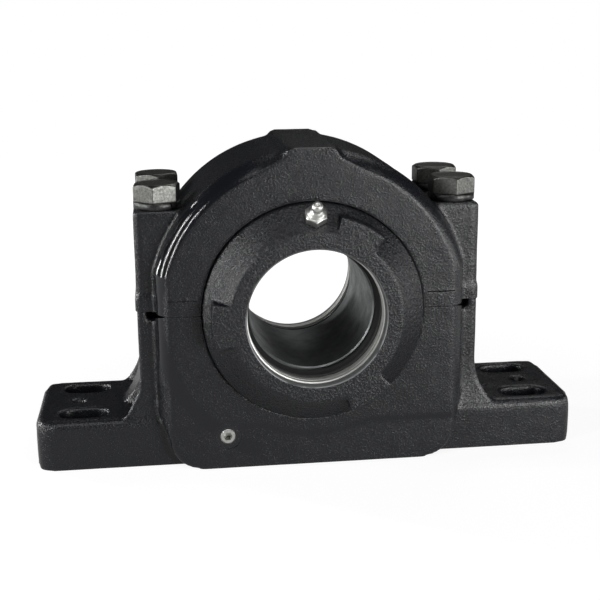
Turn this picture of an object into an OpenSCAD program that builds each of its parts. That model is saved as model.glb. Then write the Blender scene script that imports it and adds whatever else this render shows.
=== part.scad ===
// Split pillow block bearing: a cast housing in two halves, bolted round a
// double row barrel roller bearing on a tapered adapter sleeve. The shaft
// axis is along Y, the base rests on the XY plane and the long side of the
// base is along X. All sizes are in millimetres.

/* [Base] */
// Height of the shaft axis above the mounting face
axis_h = 90; // [88:1:110]
// Length of the base over both feet
base_len = 314; // [300:1:340]
// Depth of the feet along the shaft
foot_d = 76; // [72:1:84]
// Thickness of the feet
foot_t = 28.5; // [24:0.5:32]
// Corner radius of the feet seen from above
foot_corner = 8; // [4:1:12]
// Rounding along the top edges of the feet
foot_edge = 4.5; // [2:0.5:6]
// Distance of the slot centres from the end of the base
slot_end = 27; // [22:0.5:32]
// Distance between the two slots of one foot
slot_span_y = 44; // [42:1:46]
// Width of the mounting slots
slot_w = 15; // [12:0.5:16]
// Length of the mounting slots over their round ends
slot_len = 27; // [22:0.5:30]
// Radius of the washer pocket cut into the flare of the post
pocket_r = 14.5; // [12:0.5:15]
// Diameter of the spot that marks the place of a dowel in each foot
spot_dia = 7.3; // [5:0.1:9]
// Depth of that spot
spot_depth = 3; // [2:0.5:6]
// Distance of that spot outside the slot centres
spot_out = 3.6; // [0:0.2:6]

/* [Drum] */
// Radius of the rounded top of the housing
drum_r = 89.7; // [88:0.1:96]
// Half width of the straight sides of the housing
drum_half_w = 86.8; // [85:0.1:92]
// Depth of the wall from the bearing seat to the face of the housing
face_wall = 19.1; // [18:0.1:22]
// Depth over which the edge of the face is rounded
shoulder_d = 12; // [8:0.5:14]
// Width of that rounding
shoulder_w = 6.8; // [4:0.2:8]
// Width of the flat pad on top
pad_w = 29; // [20:1:40]
// Height of that pad above the rounded top
pad_rise = 0.9; // [0.5:0.1:4]
// Radius of the hollow between the pad and the shoulder
pad_hollow = 6; // [3:0.5:9]
// Depth to which that hollow dips under the edge of the face
pad_dip = 0.5; // [0.3:0.1:1]
// Height of the apron at the foot of the face
apron_h = 25.5; // [18:0.5:27]
// Set back of the apron behind the face
apron_step = 0.7; // [0.3:0.1:1.5]
// Corner radius of the apron
apron_corner = 17; // [10:1:20]

/* [Posts] */
// Width of the post outside the axis of its bolts
post_side = 13.6; // [12:0.2:16]
// Depth of the post outside the axis of its bolts
post_wall = 13.2; // [12.8:0.1:14.2]
// Height of the bolt seat above the shaft axis
post_h = 56.3; // [50:0.1:58]
// Corner radius of the bolt posts
post_corner = 3; // [1:0.5:5]
// Height of the flange along the split of the cap
flange_h = 8.4; // [6:0.2:12]
// How far that flange stands out of the post and the face
flange_out = 0.8; // [0.4:0.1:1.5]
// Width of the flare where the post meets the foot
flare_w = 11; // [8:0.5:13]
// Height of that flare
flare_h = 25.5; // [20:0.5:28]
// Width of the flare towards the front of the foot
flare_front = 2.4; // [1:0.2:3]
// Width of the pry slots under the split
pry_w = 7; // [4:0.5:7]
// Height of the pry slots
pry_h = 5; // [3:0.5:8]
// Depth of the pry slots
pry_d = 4.4; // [3:0.2:4.6]

/* [Cap bolts] */
// Distance of the bolt axis from the seat of the bearing
bolt_gap = 13.35; // [12.5:0.05:15]
// Half distance between the cap bolts along the shaft
bolt_y = 20.8; // [19:0.1:21]
// Thread diameter of the cap bolts
bolt_dia = 16; // [14:0.5:16]
// Width across the flats of the bolt heads
head_flats = 24; // [22:0.5:25]
// Height of the bolt heads
head_h = 10; // [8:0.5:12]
// Depth of the thread below the split
bolt_depth = 34; // [24:1:40]
// Clearance of the bolts in the holes of the cap
bolt_play = 1; // [0.6:0.1:1.4]
// Outer diameter of the spring washers
spring_od = 26.4; // [24:0.2:27]
// Room round the washers where they sink into the arch
washer_room = 0.8; // [0.6:0.1:1.6]
// Thickness of the spring washers
spring_t = 4; // [3:0.2:5]
// Diameter of the two dowel pins in the split
dowel_dia = 8; // [6:0.5:8]
// Length of the dowel pins
dowel_len = 26; // [18:1:32]
// Distance of the dowel pins from the seat of the bearing
dowel_gap = 15.95; // [14:0.05:18]

/* [Bearing] */
// Largest diameter of a roller
roller_dia = 17; // [15:0.1:18]
// Length of a roller
roller_len = 17; // [15:0.2:18]
// Half gap between the two rows of rollers
row_gap = 3; // [2.8:0.1:3.6]
// Wall of the outer ring in its middle plane
outer_wall = 6; // [5:0.1:8]
// Wall of the inner ring between its bore and the rollers
inner_wall = 6.8; // [6:0.1:9]
// Width of the rings beyond the rollers
side_w = 2; // [1.8:0.1:3]
// Number of rollers in one row
roller_count = 16; // [12:1:16]
// Running clearance between the rollers and the races
race_gap = 0.1; // [0.08:0.01:0.15]
// Clearance of the rollers in the pockets of the cage
pocket_gap = 0.35; // [0.2:0.05:0.5]
// Thickness of the cage band
cage_t = 3.6; // [2:0.2:4]

/* [Adapter sleeve] */
// Diameter of the shaft that the block takes
shaft_dia = 70; // [66:0.5:71]
// Wall of the sleeve at the thread
sleeve_wall = 5; // [4:0.5:7]
// How far the sleeve stands out of the locknut
sleeve_out = 0.2; // [0:0.1:2]
// Width of the slit in the sleeve
slit_w = 3; // [2:0.5:5]
// Height of the locknut above its thread
nut_h = 12.5; // [10:0.5:14]
// Thickness of the locknut
nut_w = 14.9; // [12:0.1:15]
// Thickness of the tab washer
tab_t = 1.8; // [1.2:0.1:2]
// Height of the tabs of the washer above the nut
tab_h = 3.5; // [2:0.5:4]
// Number of tabs on the washer
tab_count = 17; // [13:2:19]

/* [Covers and seals] */
// Gap between the end cover and the locknut inside it
nut_room = 2; // [1.5:0.1:3]
// Wall of the cylindrical rim of the cover
rim_wall = 6.8; // [6:0.1:9]
// Gap between the shaft and the opening in the cover
hole_gap = 3.2; // [2.8:0.1:5]
// How far the collar of the cover stands out of the face
cover_out = 16.6; // [12:0.2:20]
// Width of the face of the raised collar
collar_w = 9; // [8:0.2:12]
// Height of the cylindrical rim outside the face
rim_out = 3.4; // [2:0.2:6]
// Distance of the end of a lug from the outer edge of the cover
lug_in = 4.3; // [2:0.1:8]
// Angle that one lug covers
lug_angle = 27; // [20:1:40]
// Angle of the first lug from the top
lug_first = 27; // [10:1:50]
// Height of the trapped flange of the cover above its rim
trap_h = 5.2; // [4:0.1:6]
// Thickness of that flange
trap_t = 5.8; // [4:0.2:6]
// Gap between the shaft and the bright seal casing
casing_gap = 2.4; // [2:0.1:2.8]
// Height of the seal casing in its seat
casing_h = 3.6; // [3.2:0.1:5]
// Wall of the seal casing
casing_wall = 1.4; // [1:0.1:2]
// Width of the front band of the seal casing
casing_band_w = 6; // [4:0.5:8]
// Depth of the seal casing behind the face of the cover
casing_depth = 6; // [4:0.5:8]
// Gap between the shaft and the rubber lip
lip_gap = 0.7; // [0.6:0.1:1.3]
// Thickness of the edge of the rubber lip
lip_t = 1; // [0.6:0.1:1.6]
// Width of the locating rings beside the bearing
locating_w = 7.2; // [6:0.2:8]
// Height of the locating rings
locating_h = 9; // [7:0.5:10]

/* [Fittings] */
// Width across the flats of the grease fitting
fitting_flats = 11.1; // [9:0.1:13]
// Height of the hexagon of the grease fitting
fitting_hex = 5; // [4:0.5:7]
// Height of the grease fitting above its seat
fitting_h = 13; // [11:0.5:16]
// Diameter of the threaded stub of the grease fitting
stub_dia = 9.4; // [8:0.2:10]
// Diameter of the neck of the grease fitting
neck_dia = 5.4; // [4:0.2:6]
// Diameter of the ball head of the grease fitting
ball_dia = 6.6; // [6:0.2:8]
// Diameter of the drain plug
plug_dia = 9; // [7:0.5:12]
// Length of the drain plug
plug_len = 10; // [8:0.5:14]
// Distance of the drain plug from the middle of the base
plug_x = 49; // [40:1:56]
// Height of the drain plug above the mounting face
plug_z = 18.8; // [14:0.2:20]

/* [Hidden] */
$fn = 96;
// Radial clearance of a fit that is pressed or clamped
fit = 0.05;
// Axial clearance between stacked pieces
stack = 0.05;
// Overshoot of a cut
cut = 1;

// Rounding radius whose arc is shoulder_w high over shoulder_d
shoulder_r = (shoulder_d * shoulder_d + shoulder_w * shoulder_w) / (2 * shoulder_w);
// Radius of the concave flare, tangent to the side of the post
flare_r = (flare_w * flare_w + flare_h * flare_h) / (2 * flare_w);
front_flare_r = (flare_front * flare_front + flare_h * flare_h) / (2 * flare_front);
// Bearing, from the shaft outwards
brg_bore = shaft_dia + 2 * sleeve_wall;
race_r = brg_bore / 2 + inner_wall + roller_dia + 2 * race_gap;
brg_od = 2 * (race_r + outer_wall);
row_y = roller_len / 2 + row_gap;
brg_w = 2 * (row_y + roller_len / 2 + side_w);
nut_od = brg_bore + 2 * nut_h;
tab_od = nut_od + 2 * tab_h;
// Seat of the bearing and its locating rings in the housing
seat_r = brg_od / 2 + fit;
seat_half = brg_w / 2 + locating_w + 2 * stack;
drum_half_d = seat_half + face_wall;
// Bolts, dowels and posts
bolt_x = seat_r + bolt_gap;
dowel_x = seat_r + dowel_gap;
post_half_w = bolt_x + post_side;
post_half_d = bolt_y + post_wall;
slot_x = base_len / 2 - slot_end;
pad_h = drum_r + pad_rise;
// End covers
cover_od = nut_od + 2 * (nut_room + rim_wall);
cover_hole = shaft_dia + 2 * hole_gap;
collar_od = cover_hole + 2 * collar_w;
lug_r = cover_od / 2 - lug_in;
trap_od = cover_od + 2 * trap_h;
casing_bore = shaft_dia + 2 * casing_gap;
casing_od = casing_bore + 2 * casing_h;
lip_bore = shaft_dia + 2 * lip_gap;
// Opening of the housing round the cover
wall_r = cover_od / 2 + 0.6;
cover_face = drum_half_d + cover_out;
rim_face = drum_half_d + rim_out;
trap_out = drum_half_d - 5.5;
trap_in = trap_out - trap_t;
// Contact angle of the rollers
mid_r = race_r - race_gap - roller_dia / 2;
contact = asin(row_y / mid_r);
pitch_r = mid_r * cos(contact);
// Radius of the barrel profile and of the inner race
barrel_r = race_r - 2;
inner_race_r = race_r + 0.1;
inner_race_mid = mid_r - roller_dia / 2 - race_gap + inner_race_r;
barrel_end_r = roller_dia / 2 - barrel_r + sqrt(barrel_r * barrel_r - roller_len * roller_len / 4);
// Corners of the roller ends in the plane of the axis
end_in_y = row_y - roller_len / 2 * cos(contact);
end_in_r = pitch_r + roller_len / 2 * sin(contact);
end_out_y = row_y + roller_len / 2 * cos(contact);
end_out_r = pitch_r - roller_len / 2 * sin(contact);
// Seat of the guide ring between the two rows
guide_seat = end_in_r - (barrel_end_r + 0.95) * cos(contact);
// Wall of the sleeve: half the cone of 1 in 12 on each side
cone = 1 / 24;
// Angle of the slit of the sleeve from the top, seen from the front, to the left
slit_turn = 30;
tab_y = brg_w / 2 + stack;
nut_y = tab_y + tab_t + stack;
sleeve_end = nut_y + nut_w + sleeve_out;
// Cone face of the cover, which carries the grease fitting
cone_a = [cover_od / 2, rim_face];
cone_b = [collar_od / 2, cover_face];
cone_ang = atan2(cone_b[1] - cone_a[1], cone_a[0] - cone_b[0]);
cone_mid = (cone_a + cone_b) / 2;
cover_wall = 6;
// Front end of the casing seat, inner end of the hub, front end of the rubber lip
casing_y = cover_face - casing_depth;
hub_y = drum_half_d - 4.4;
lip_y = drum_half_d - 1.2;
// Depth of the cone face under the outer edge of a lug
lug_foot = cover_face - (lug_r - collar_od / 2) * tan(cone_ang);

// Flat shape with all four corners rounded
module round_box(w, d, r) {
    square([w - 2 * r, d], center = true);
    square([w, d - 2 * r], center = true);
    for (sx = [-1, 1], sy = [-1, 1])
        translate([sx * (w / 2 - r), sy * (d / 2 - r)]) circle(r);
}

// Flat shape that stands on its lower edge and has round upper corners
module round_top(w, h, r) {
    translate([-w / 2, 0]) square([w, h - r]);
    translate([-w / 2 + r, 0]) square([w - 2 * r, h]);
    for (sx = [-1, 1]) translate([sx * (w / 2 - r), h - r]) circle(r);
}

// Flat stadium along X
module stadium(len, w) {
    square([len - w, w], center = true);
    for (sx = [-1, 1]) translate([sx * (len - w) / 2, 0]) circle(w / 2);
}

// Turns a profile of radius and shaft position about the shaft axis
module turned() {
    translate([0, 0, axis_h]) rotate([90, 0, 0]) mirror([0, 0, 1]) rotate_extrude() children();
}

// Places a front piece, or the same piece turned round for the rear
module at_side(side) {
    rotate([0, 0, side > 0 ? 180 : 0]) children();
}

// Half section of the drum with rounded shoulders, from the axis outwards
module shoulder_profile(outer) {
    intersection() {
        union() {
            square([outer - shoulder_r, 2 * drum_half_d], center = false);
            translate([0, shoulder_d]) square([outer, 2 * (drum_half_d - shoulder_d)]);
            for (e = [shoulder_d, 2 * drum_half_d - shoulder_d])
                translate([outer - shoulder_r, e]) circle(shoulder_r);
        }
        square([outer, 2 * drum_half_d]);
    }
}

// The same section as a plan of the straight sides
module shoulder_plan() {
    for (s = [0, 1]) mirror([s, 0])
        translate([0, -drum_half_d]) shoulder_profile(drum_half_w);
}

// Everything that is bored or drilled through both halves
module housing_bores() {
    translate([0, 0, axis_h]) rotate([90, 0, 0]) {
        cylinder(r = seat_r, h = 2 * seat_half, center = true);
        cylinder(r = wall_r, h = 2 * drum_half_d + 4, center = true);
        for (s = [-1, 1]) translate([0, 0, s * (trap_in + trap_t / 2)])
            cylinder(r = trap_od / 2 + 0.5, h = trap_t + 2 * stack, center = true);
    }
    for (s = [-1, 1]) translate([s * dowel_x, 0, axis_h])
        cylinder(d = dowel_dia + 2 * fit, h = dowel_len + 0.4, center = true);
}

module housing_base() {
    color("#2b2d30") difference() {
        union() {
            foot_plate();
            lower_drum();
            lower_posts();
        }
        housing_bores();
        for (sx = [-1, 1], sy = [-1, 1]) {
            translate([sx * slot_x, sy * slot_span_y / 2, -cut])
                linear_extrude(foot_t + 2 * cut) stadium(slot_len, slot_w);
            washer_pocket(sx, sy);
            translate([sx * bolt_x, sy * bolt_y, axis_h - bolt_depth])
                cylinder(d = bolt_dia + 2 * fit, h = bolt_depth + cut);
            translate([sx * (drum_half_w + 1) - pry_w / 2, sy > 0 ? post_half_d - pry_d : -post_half_d - cut,
                axis_h - pry_h]) cube([pry_w, pry_d + cut, pry_h + cut]);
        }
        for (sx = [-1, 1]) translate([sx * (slot_x + spot_out), 0, foot_t - spot_depth])
            cylinder(d = spot_dia, h = spot_depth + cut);
        drain_seat();
    }
}

module foot_plate() {
    intersection() {
        linear_extrude(foot_t) round_box(base_len, foot_d, foot_corner);
        rotate([90, 0, 0]) linear_extrude(foot_d + 2, center = true)
            round_top(base_len, foot_t, foot_edge);
        rotate([90, 0, 90]) linear_extrude(base_len + 2, center = true)
            round_top(foot_d, foot_t, foot_edge);
    }
}

// Lower half of the drum down to the mounting face
module lower_drum() {
    low_w = drum_half_w - shoulder_w + 1;
    difference() {
        intersection() {
            linear_extrude(axis_h) shoulder_plan();
            rotate([90, 0, 0]) linear_extrude(2 * drum_half_d + 2, center = true) {
                for (s = [-1, 1]) translate([s * (low_w - apron_corner), apron_corner])
                    circle(apron_corner);
                translate([apron_corner - low_w, 0]) square([2 * (low_w - apron_corner), axis_h]);
                polygon([[-low_w, apron_corner], [low_w, apron_corner],
                    [drum_half_w, apron_corner + 15], [drum_half_w, axis_h],
                    [-drum_half_w, axis_h], [-drum_half_w, apron_corner + 15]]);
            }
        }
        for (s = [-1, 1]) translate([-base_len / 2, s * (drum_half_d + 5 - apron_step) - 5, -cut])
            cube([base_len, 10, apron_h + cut]);
    }
}

// Bolt posts of the base, which flare out to the feet
module lower_posts() {
    low = foot_t - 4;
    intersection() {
        rotate([90, 0, 0]) linear_extrude(foot_d, center = true)
            flared(post_half_w, flare_w, flare_r, low);
        rotate([90, 0, 90]) linear_extrude(base_len, center = true)
            flared(post_half_d, flare_front, front_flare_r, low);
    }
}

// Outline of a post with concave flares down to the top of the foot
module flared(half, out, r, low) {
    difference() {
        translate([-half - out, low]) square([2 * (half + out), axis_h - low]);
        for (s = [-1, 1]) {
            translate([s * (half + r), foot_t + flare_h]) circle(r);
            translate([s > 0 ? half : -half - r - cut, foot_t + flare_h])
                square([r + cut, axis_h]);
        }
    }
}

// Room for a washer beside the post, open towards the foot end
module washer_pocket(sx, sy) {
    inner = post_half_w + 0.5 + pocket_r;
    translate([0, sy * slot_span_y / 2, foot_t]) {
        translate([sx * inner, 0, 0]) cylinder(r = pocket_r, h = flare_h + 6);
        translate([sx > 0 ? inner : -inner - slot_end, -pocket_r, 0])
            cube([slot_end, 2 * pocket_r, flare_h + 6]);
    }
}

// Threaded hole and spot face of the drain plug
module drain_seat() {
    face = drum_half_d - apron_step;
    translate([-plug_x, -face, plug_z]) rotate([-90, 0, 0]) {
        cylinder(d = plug_dia + 2 * fit, h = plug_len + 2);
        translate([0, 0, -cut]) cylinder(d = plug_dia + 6.4, h = cut + 0.5);
    }
}

module housing_cap() {
    color("#2b2d30") difference() {
        union() {
            upper_drum();
            upper_posts();
            cap_flange();
            top_pad();
        }
        housing_bores();
        for (sx = [-1, 1], sy = [-1, 1]) translate([sx * bolt_x, sy * bolt_y, axis_h - cut]) {
            cylinder(d = bolt_dia + bolt_play, h = post_h + 2 * cut);
            translate([0, 0, post_h + cut]) cylinder(r = spring_od / 2 + washer_room, h = drum_r);
        }
        translate([-base_len / 2, -foot_d, 0]) cube([base_len, 2 * foot_d, axis_h]);
    }
}

// Upper half of the drum: turned about the shaft axis, with straight sides
module upper_drum() {
    intersection() {
        translate([0, -drum_half_d, axis_h]) rotate([-90, 0, 0]) rotate_extrude()
            shoulder_profile(drum_r);
        translate([0, 0, axis_h]) linear_extrude(drum_r + 1) shoulder_plan();
    }
}

module upper_posts() {
    intersection() {
        translate([0, 0, axis_h]) linear_extrude(post_h)
            round_box(2 * post_half_w, 2 * post_half_d, post_corner);
        rotate([90, 0, 0]) linear_extrude(2 * post_half_d + 2, center = true)
            translate([0, axis_h - 10]) round_top(2 * post_half_w, post_h + 10, post_corner);
    }
}

// Raised band along the split, round the posts and across the face
module cap_flange() {
    translate([0, 0, axis_h]) linear_extrude(flange_h) {
        round_box(2 * (post_half_w + flange_out), 2 * (post_half_d + flange_out), post_corner);
        square([2 * (drum_half_w - shoulder_w), 2 * (drum_half_d + flange_out / 2)], center = true);
    }
}

// Flat pad on top, with a hollow down to the edge of the face on each side
module top_pad() {
    edge_r = drum_r - shoulder_w;
    half = pad_w / 2;
    out = half + pad_hollow;
    reach = edge_r + pad_hollow - pad_dip;
    up = sqrt(reach * reach - out * out);
    k = edge_r / reach;
    translate([0, 0, axis_h]) rotate([90, 0, 0]) linear_extrude(2 * drum_half_d, center = true) difference() {
        polygon([[-out * k, up * k - shoulder_w], [out * k, up * k - shoulder_w], [out * k, up * k],
            [out, up], [half, up], [half, pad_h], [-half, pad_h], [-half, up], [-out, up], [-out * k, up * k]]);
        for (s = [-1, 1]) translate([s * out, up]) circle(pad_hollow);
    }
}

// Hexagon bolts of the cap, each turned as it was left after tightening
module cap_bolts() {
    turns = [[-1, -1, 20], [1, -1, 30], [-1, 1, 34], [1, 1, 31]];
    for (t = turns) translate([t[0] * bolt_x, t[1] * bolt_y, 0]) rotate([0, 0, t[2]])
        color("#a9aaa6") cap_bolt();
}

module cap_bolt() {
    seat = axis_h + post_h + spring_t;
    intersection() {
        translate([0, 0, seat]) cylinder(d = head_flats / cos(30), h = head_h, $fn = 6);
        translate([0, 0, seat]) rotate_extrude() polygon([[0, 0], [head_flats / 2 * 0.96, 0],
            [head_flats / 2 * 1.2, head_flats * 0.05], [head_flats / 2 * 1.2, head_h - head_flats * 0.08],
            [head_flats / 2 * 0.95, head_h], [0, head_h]]);
    }
    translate([0, 0, axis_h - bolt_depth + 2]) cylinder(d = bolt_dia, h = seat - axis_h + bolt_depth - 2);
}

// Split spring washers under the bolt heads
module spring_washers() {
    color("#8f908d") for (sx = [-1, 1], sy = [-1, 1])
        translate([sx * bolt_x, sy * bolt_y, axis_h + post_h]) difference() {
            cylinder(d = spring_od, h = spring_t);
            translate([0, 0, -cut]) cylinder(d = bolt_dia + 1, h = spring_t + 2 * cut);
            rotate([0, 0, 40 + 90 * sx]) rotate([20, 0, 0])
                translate([bolt_dia / 2 - 1, -0.4, -cut]) cube([spring_od / 2, 0.8, 3 * spring_t]);
        }
}

module dowel_pins() {
    color("#b4b5b2") for (s = [-1, 1]) translate([s * dowel_x, 0, axis_h])
        cylinder(d = dowel_dia, h = dowel_len, center = true);
}

// Countersunk plug with a hexagon socket
module drain_plug() {
    face = drum_half_d - apron_step - 0.5;
    color("#c9c9c4") translate([-plug_x, -face, plug_z]) rotate([-90, 0, 0]) difference() {
        rotate_extrude() polygon([[0, 0], [plug_dia / 2 - 0.6, 0], [plug_dia / 2, 0.6],
            [plug_dia / 2, plug_len - 0.6], [plug_dia / 2 - 0.6, plug_len], [0, plug_len]]);
        translate([0, 0, -cut]) cylinder(d = plug_dia * 0.56, h = plug_len / 2 + cut, $fn = 6);
    }
}

module cover_front() { color("#26282b") at_side(-1) cover(); }
module cover_rear() { color("#26282b") at_side(1) cover(); }

// One-piece end cover: trapped flange, cone face, collar with three lugs
module cover() {
    in_r = nut_od / 2 + nut_room;
    hub_r = casing_od / 2 + 5;
    lift = cover_wall / cos(cone_ang);
    roof_in = cover_face - (hub_r - collar_od / 2) * tan(cone_ang) - lift;
    roof_out = cover_face - (in_r - collar_od / 2) * tan(cone_ang) - lift;
    difference() {
        union() {
            turned() mirror([0, 1]) polygon([[in_r, trap_in], [trap_od / 2, trap_in],
                [trap_od / 2, trap_out], [cover_od / 2, trap_out], cone_a, cone_b,
                [cover_hole / 2 + 0.8, cover_face], [cover_hole / 2, cover_face - 0.8],
                [cover_hole / 2, casing_y + stack], [casing_od / 2, casing_y + stack],
                [casing_od / 2, hub_y], [hub_r, hub_y], [hub_r, roof_in], [in_r, roof_out]]);
            for (k = [0 : 2]) lug(lug_first + 120 * k);
        }
        fitting_place() translate([0, 0, -cover_wall - 4]) cylinder(d = stub_dia + 6 * fit, h = cover_wall + 8);
    }
}

// Raised lug that runs out from the collar over the cone
module lug(a) {
    intersection() {
        turned() mirror([0, 1]) polygon([[collar_od / 2 - 2, cover_face - 5], [collar_od / 2 - 2, cover_face],
            [lug_r, cover_face], [lug_r, lug_foot - 1.2], [lug_r - 3, lug_foot]]);
        translate([0, 0, axis_h]) rotate([90, 0, 0]) rotate([0, 0, 90 - a]) linear_extrude(2 * cover_face)
            polygon([[0, 0], [2 * lug_r, -2 * lug_r * tan(lug_angle / 2)],
                [2 * lug_r, 2 * lug_r * tan(lug_angle / 2)]]);
    }
}

// Frame of the grease fitting, square to the cone at the top of the cover
module fitting_place() {
    translate([0, -cone_mid[1], axis_h + cone_mid[0]]) rotate([90 - cone_ang, 0, 0]) children();
}

module grease_fitting_front() { color("#d6d6d2") at_side(-1) grease_fitting(); }
module grease_fitting_rear() { color("#d6d6d2") at_side(1) grease_fitting(); }

// Hexagon, neck and ball head, with the threaded stub below
module grease_fitting() {
    fitting_place() {
        translate([0, 0, stack]) intersection() {
            rotate([0, 0, 30]) cylinder(d = fitting_flats / cos(30), h = fitting_hex, $fn = 6);
            rotate_extrude() polygon([[0, 0], [fitting_flats * 0.6, 0],
                [fitting_flats * 0.6, fitting_hex - 0.9], [fitting_flats * 0.46, fitting_hex], [0, fitting_hex]]);
        }
        translate([0, 0, fitting_hex]) cylinder(d = neck_dia, h = fitting_h - fitting_hex - ball_dia * 0.3);
        translate([0, 0, fitting_h - ball_dia / 2]) intersection() {
            sphere(d = ball_dia);
            translate([0, 0, -ball_dia / 2]) cylinder(d = 2 * ball_dia, h = ball_dia * 0.92);
        }
        translate([0, 0, -cover_wall - 1]) cylinder(d = stub_dia, h = cover_wall + 1 + stack);
    }
}

module seal_casing_front() { color("#cfcfca") at_side(-1) seal_casing(); }
module seal_casing_rear() { color("#cfcfca") at_side(1) seal_casing(); }

// Bright steel casing pressed into the hub of the cover
module seal_casing() {
    in_r = casing_bore / 2;
    out_r = casing_od / 2 - fit;
    chamfer = casing_wall * 0.43;
    turned() mirror([0, 1]) polygon([[in_r + chamfer, casing_y], [out_r, casing_y], [out_r, lip_y + stack],
        [in_r + casing_wall, lip_y + stack], [in_r + casing_wall, casing_y - casing_band_w],
        [in_r, casing_y - casing_band_w - chamfer], [in_r, casing_y - chamfer]]);
}

module seal_lip_front() { color("#17181a") at_side(-1) seal_lip(); }
module seal_lip_rear() { color("#17181a") at_side(1) seal_lip(); }

// Rubber lip behind the casing
module seal_lip() {
    back = hub_y - 2 * lip_t;
    in_r = casing_bore / 2;
    out_r = casing_od / 2 - fit;
    turned() mirror([0, 1]) polygon([[out_r, lip_y], [out_r, back + lip_t], [in_r + lip_t * 0.6, back + lip_t],
        [in_r, back], [lip_bore / 2, back + lip_t * 0.4], [lip_bore / 2, back + lip_t * 1.4],
        [in_r, lip_y - lip_t * 0.8], [in_r + lip_t, lip_y]]);
}

module locating_ring_front() { color("#8d8f90") at_side(-1) locating_ring(); }
module locating_ring_rear() { color("#8d8f90") at_side(1) locating_ring(); }

// Ring that holds the bearing between the shoulders of the housing
module locating_ring() {
    out_r = brg_od / 2;
    near = brg_w / 2 + stack;
    far = brg_w / 2 + locating_w;
    chamfer = locating_h * 0.045;
    turned() mirror([0, 1]) polygon([[out_r - locating_h, near], [out_r - chamfer, near],
        [out_r, near + chamfer], [out_r, far], [out_r - locating_h, far]]);
}

// Outer ring: hollow sphere inside, grease groove and three holes outside
module outer_ring() {
    color("#b9bbbc") difference() {
        turned() difference() {
            translate([0, -brg_w / 2]) union() {
                translate([0, 0.8]) square([brg_od / 2, brg_w - 1.6]);
                square([brg_od / 2 - 0.8, brg_w]);
            }
            circle(race_r);
            translate([brg_od / 2 - 1.2, -3]) square([3, 6]);
        }
        translate([0, 0, axis_h]) for (k = [0 : 2]) rotate([0, 120 * k, 0])
            cylinder(d = 5, h = brg_od);
    }
}

// Inner ring: tapered bore, two hollow races, a rib at each end
module inner_ring() {
    rib_r = end_out_r - (barrel_end_r - 1.1) * cos(contact);
    rib_y = end_out_y - (barrel_end_r - 2.2) * sin(contact) + 0.3;
    color("#b9bbbc") turned() difference() {
        polygon([[brg_bore / 2, brg_w / 2], [rib_r, brg_w / 2], [rib_r, rib_y], [pitch_r, rib_y],
            [pitch_r, -rib_y], [rib_r, -rib_y], [rib_r, -brg_w / 2],
            [brg_bore / 2 + brg_w * cone, -brg_w / 2]]);
        for (s = [-1, 1]) intersection() {
            translate([inner_race_mid * cos(contact), s * inner_race_mid * sin(contact)])
                circle(inner_race_r, $fn = 360);
            translate([0, s > 0 ? 0 : -rib_y]) square([2 * race_r, rib_y]);
        }
        translate([guide_seat, -brg_w / 2]) square([race_r, 2 * brg_w / 2]);
    }
}

// Floating ring that keeps the two rows apart
module guide_ring() {
    low = guide_seat + 0.15;
    high = race_r - 1.5;
    side = 0.2;
    color("#a7a9aa") turned() polygon([[low, guide_half(low) - side], [high, guide_half(high) - side],
        [high, side - guide_half(high)], [low, side - guide_half(low)]]);
}

// Half distance between the roller ends at a given radius
function guide_half(r) = end_in_y + (r - end_in_r) * tan(contact);

module cage_front() { color("#b58a3c") at_side(-1) cage(); }
module cage_rear() { color("#b58a3c") at_side(1) cage(); }

// Comb cage: a rim outside the rollers, with a prong between each two
module cage() {
    rim_y = brg_w / 2 - 0.3;
    h = cage_t / 2;
    rim_low = end_out_r - 4;
    rim_high = end_out_r + 2.2;
    clear = pocket_gap + 0.3;
    foot = roller_len / 2 + clear * cos(contact);
    difference() {
        turned() mirror([0, 1]) polygon([along(0.5 - roller_len / 2, h), along(foot, h),
            [rim_high, rim_inner(rim_high) + clear], [rim_high, rim_y], [rim_low, rim_y],
            [rim_low, rim_inner(rim_low) + clear], along(foot, -h), along(0.5 - roller_len / 2, -h)]);
        for (k = [0 : roller_count - 1]) roller_place(k)
            cylinder(d = roller_dia + 2 * pocket_gap, h = roller_len + 2 * pocket_gap, center = true);
    }
}

// Place along the shaft of the outer roller end at a given radius
function rim_inner(r) = end_out_y + (r - end_out_r) * tan(contact);

// Point at a distance along the roller axis and square to it
function along(s, n) = [pitch_r - s * sin(contact) + n * cos(contact),
    row_y + s * cos(contact) + n * sin(contact)];

// Frame of one roller of the front row, its axis along local Z
module roller_place(k) {
    translate([0, 0, axis_h]) rotate([0, k * 360 / roller_count, 0])
        translate([0, -row_y, pitch_r]) rotate([90 + contact, 0, 0]) children();
}

// Barrel roller with short chamfers
module roller(side, k) {
    c = 0.5;
    color("#c4c6c7") at_side(side) roller_place(k) rotate_extrude() intersection() {
        translate([roller_dia / 2 - barrel_r, 0]) circle(barrel_r, $fn = 720);
        polygon([[0, -roller_len / 2], [barrel_end_r - c, -roller_len / 2], [barrel_end_r, c - roller_len / 2],
            [roller_dia, c - roller_len / 2], [roller_dia, roller_len / 2 - c],
            [barrel_end_r, roller_len / 2 - c], [barrel_end_r - c, roller_len / 2], [0, roller_len / 2]]);
    }
}

// Adapter sleeve: straight bore, cone of 1 in 12 outside, slit along one side
module adapter_sleeve() {
    e = sleeve_end;
    r = shaft_dia / 2;
    color("#77797a") difference() {
        turned() polygon([[r + 0.8, -e], [cone_r(-e) - 0.8, -e], [cone_r(-e), 0.8 - e],
            [cone_r(brg_w / 2), brg_w / 2], [brg_bore / 2 - 0.1, brg_w / 2 + 0.2],
            [brg_bore / 2 - 0.1, e - 1], [brg_bore / 2 - 1.1, e], [r + 0.8, e], [r, e - 0.8], [r, 0.8 - e]]);
        translate([0, 0, axis_h]) rotate([0, -slit_turn, 0])
            translate([-slit_w / 2, -2 * sleeve_end, 0]) cube([slit_w, 4 * sleeve_end, brg_bore]);
    }
}

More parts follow.
